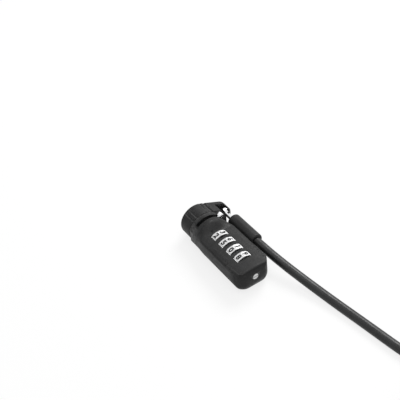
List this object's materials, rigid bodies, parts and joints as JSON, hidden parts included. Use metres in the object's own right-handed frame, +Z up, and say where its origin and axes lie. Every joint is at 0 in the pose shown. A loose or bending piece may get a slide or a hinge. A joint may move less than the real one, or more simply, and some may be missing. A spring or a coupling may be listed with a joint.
{
  "type": "laptop cable lock",
  "caption": "Combination lock for a computer's security slot: number wheels in a moulded case, a swivelling collar and a hinged cable that ends in a loop.",
  "frame": {"origin": "centre of the security slot, in the plane that the nose pad lies on", "axes": "+X along the lock axis out of the nose, into the computer; +Y left, away from the cable; +Z up, through the number wheels' windows"},
  "size_m": [0.2914, 0.0546, 0.0321],
  "materials": {
    "case_black": "satin black coating",
    "sleeve_black": "satin black",
    "cable_black": "smooth black jacket over steel cable",
    "rubber_black": "soft matt rubber",
    "wheel_metal": "satin silver with dark numbers",
    "chrome": "bright chrome",
    "steel_bright": "hardened steel, fine machined",
    "steel_dark": "black oxide",
    "spring_steel": "plain spring steel",
    "brass": "machined brass"
  },
  "bodies": {
    "body": {"housing": "case_black", "base_cover": "case_black", "cover_screws": "steel_dark", "detent_spring": "spring_steel", "collar_clip": "spring_steel", "lock_nose": "steel_bright", "nose_pad": "rubber_black", "tail_bush": "brass", "shaft_spring": "spring_steel"},
    "collar": {"swivel_collar": "case_black", "hinge_pin": "chrome"},
    "cable": {"cable_link": "chrome", "cable_ferrule": "steel_dark", "crimp_sleeve": "sleeve_black", "cable_lead": "cable_black", "cable_hank": "cable_black", "cable_tail": "cable_black", "loop_ferrule": "sleeve_black", "anchor_loop": "cable_black", "cable_tie": "rubber_black"},
    "t_bar": {"t_bar": "steel_bright", "turn_pin": "chrome"},
    "code_shaft": {"code_shaft": "steel_bright"},
    "dial_1": {"number_wheel_1": "wheel_metal", "clutch_sleeve_1": "brass"},
    "dial_2": {"number_wheel_2": "wheel_metal", "clutch_sleeve_2": "brass"},
    "dial_3": {"number_wheel_3": "wheel_metal", "clutch_sleeve_3": "brass"},
    "dial_4": {"number_wheel_4": "wheel_metal", "clutch_sleeve_4": "brass"},
    "reset": {"reset_screw": "steel_bright", "reset_cam": "brass"}
  },
  "joints": [
    {"name": "collar_swivel", "type": "hinge", "parent": "body", "child": "collar", "pos_m": [-0.0064, 0, 0], "axis": [1, 0, 0], "continuous": true},
    {"name": "cable_pivot", "type": "hinge", "parent": "collar", "child": "cable", "pos_m": [-0.0078, -0.0174, -0.0005], "axis": [0, 1, 0], "range_deg": [-90, 90]},
    {"name": "t_bar_turn", "type": "hinge", "parent": "body", "child": "t_bar", "pos_m": [-0.01, 0, 0], "axis": [-1, 0, 0], "range_deg": [0, 90]},
    {"name": "shaft_slide", "type": "slide", "parent": "body", "child": "code_shaft", "axis": [1, 0, 0], "range_m": [0, 0.0038]},
    {"name": "dial_1_turn", "type": "hinge", "parent": "body", "child": "dial_1", "pos_m": [-0.0289, 0, 0], "axis": [1, 0, 0], "continuous": true},
    {"name": "dial_2_turn", "type": "hinge", "parent": "body", "child": "dial_2", "pos_m": [-0.0364, 0, 0], "axis": [1, 0, 0], "continuous": true},
    {"name": "dial_3_turn", "type": "hinge", "parent": "body", "child": "dial_3", "pos_m": [-0.0439, 0, 0], "axis": [1, 0, 0], "continuous": true},
    {"name": "dial_4_turn", "type": "hinge", "parent": "body", "child": "dial_4", "pos_m": [-0.0514, 0, 0], "axis": [1, 0, 0], "continuous": true},
    {"name": "reset_turn", "type": "hinge", "parent": "body", "child": "reset", "pos_m": [-0.0625, 0, 0], "axis": [1, 0, 0], "range_deg": [0, 90]}
  ]
}
